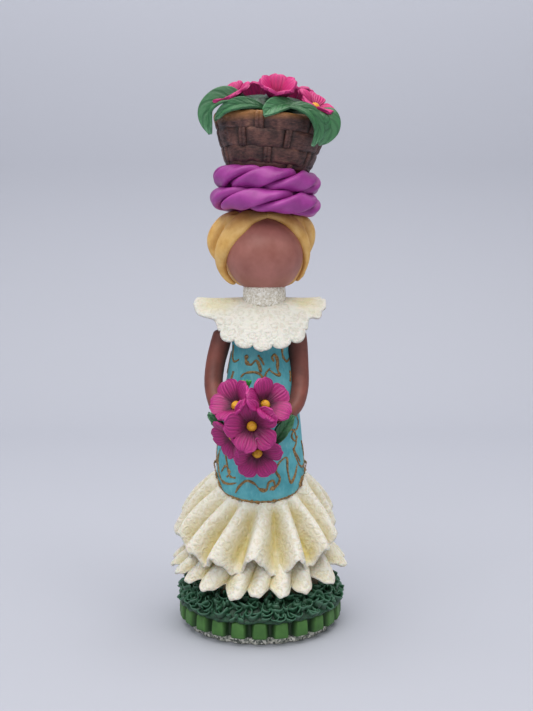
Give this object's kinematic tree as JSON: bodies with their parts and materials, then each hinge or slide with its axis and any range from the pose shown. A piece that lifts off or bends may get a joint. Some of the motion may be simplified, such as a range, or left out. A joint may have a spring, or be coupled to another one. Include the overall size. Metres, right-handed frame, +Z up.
{
  "type": "folk clay doll",
  "caption": "Small free-standing folk doll in modelled clay: a blank-faced market woman in a flounced dress, a basket of flowers on her head and a bunch of flowers in her hands.",
  "frame": {"origin": "centre of the foot's flat underside, on the line of the upright rod", "axes": "+Z up; the blank face and the bunch of flowers look towards -Y; the figure's own left hand is at +X"},
  "size_m": [0.0588, 0.0608, 0.1792],
  "materials": {
    "glitter_foot": "fine silver glitter over white clay",
    "disc_green_clay": "baked polymer clay, satin",
    "grass_green_clay": "baked polymer clay, matte",
    "steel_wire": "bare drawn wire",
    "paper_core": "pressed paper pulp, hidden",
    "cream_clay": "lace-embossed baked polymer clay, matte",
    "bronze_trim": "bronze-painted clay thread",
    "turquoise_clay": "baked polymer clay, matte",
    "arm_brown_clay": "baked polymer clay, satin",
    "face_brown_clay": "baked polymer clay, satin",
    "lace_choker": "glittered white lace ribbon",
    "mustard_clay": "baked polymer clay, satin",
    "rope_magenta_clay": "baked polymer clay, satin",
    "basket_brown_clay": "baked polymer clay, dark wash in the creases",
    "flower_magenta_clay": "veined cold-porcelain clay, matte",
    "stamen_yellow_clay": "baked polymer clay, matte",
    "leaf_green_clay": "veined baked polymer clay, satin",
    "sprig_green_clay": "baked polymer clay, satin"
  },
  "bodies": {
    "root": {"foot_plate": "glitter_foot", "base_disc": "disc_green_clay", "grass_mound": "grass_green_clay", "grass_curls": "grass_green_clay", "armature_rod": "steel_wire", "skirt_cone": "paper_core", "lower_flounce": "cream_clay", "upper_flounce": "cream_clay", "hem_trim": "bronze_trim", "dress_core": "paper_core", "dress_shell": "turquoise_clay", "left_shoulder_pin": "steel_wire", "right_shoulder_pin": "steel_wire", "left_arm": "arm_brown_clay", "right_arm": "arm_brown_clay", "neck_post": "arm_brown_clay", "choker_band": "lace_choker", "collar": "cream_clay", "head": "face_brown_clay", "basket_pin": "steel_wire", "wrap_hood": "mustard_clay", "wrap_left_inner": "mustard_clay", "wrap_right_inner": "mustard_clay", "wrap_left_outer": "mustard_clay", "wrap_right_outer": "mustard_clay", "lower_rope_a": "rope_magenta_clay", "lower_rope_b": "rope_magenta_clay", "upper_rope_a": "rope_magenta_clay", "upper_rope_b": "rope_magenta_clay", "basket_wall": "basket_brown_clay", "basket_strip_1": "basket_brown_clay", "basket_strip_2": "basket_brown_clay", "basket_strip_3": "basket_brown_clay", "basket_strip_4": "basket_brown_clay", "basket_stakes": "basket_brown_clay", "basket_fill": "grass_green_clay", "basket_flower_front": "flower_magenta_clay", "basket_flower_left": "flower_magenta_clay", "basket_flower_right": "flower_magenta_clay", "basket_flower_back_left": "flower_magenta_clay", "basket_flower_back_right": "flower_magenta_clay", "basket_stamens": "stamen_yellow_clay", "basket_leaf_1": "leaf_green_clay", "basket_leaf_2": "leaf_green_clay", "basket_leaf_3": "leaf_green_clay", "basket_leaf_4": "leaf_green_clay", "basket_leaf_5": "leaf_green_clay", "basket_leaf_6": "leaf_green_clay", "basket_leaf_7": "leaf_green_clay", "basket_leaf_8": "leaf_green_clay", "bouquet_core": "grass_green_clay", "bouquet_flower_centre": "flower_magenta_clay", "bouquet_flower_top_right": "flower_magenta_clay", "bouquet_flower_top_left": "flower_magenta_clay", "bouquet_flower_left": "flower_magenta_clay", "bouquet_flower_bottom": "flower_magenta_clay", "bouquet_stamens": "stamen_yellow_clay", "bouquet_leaf_right": "leaf_green_clay", "bouquet_leaf_left": "leaf_green_clay", "bouquet_sprig": "sprig_green_clay"}
  },
  "joints": []
}
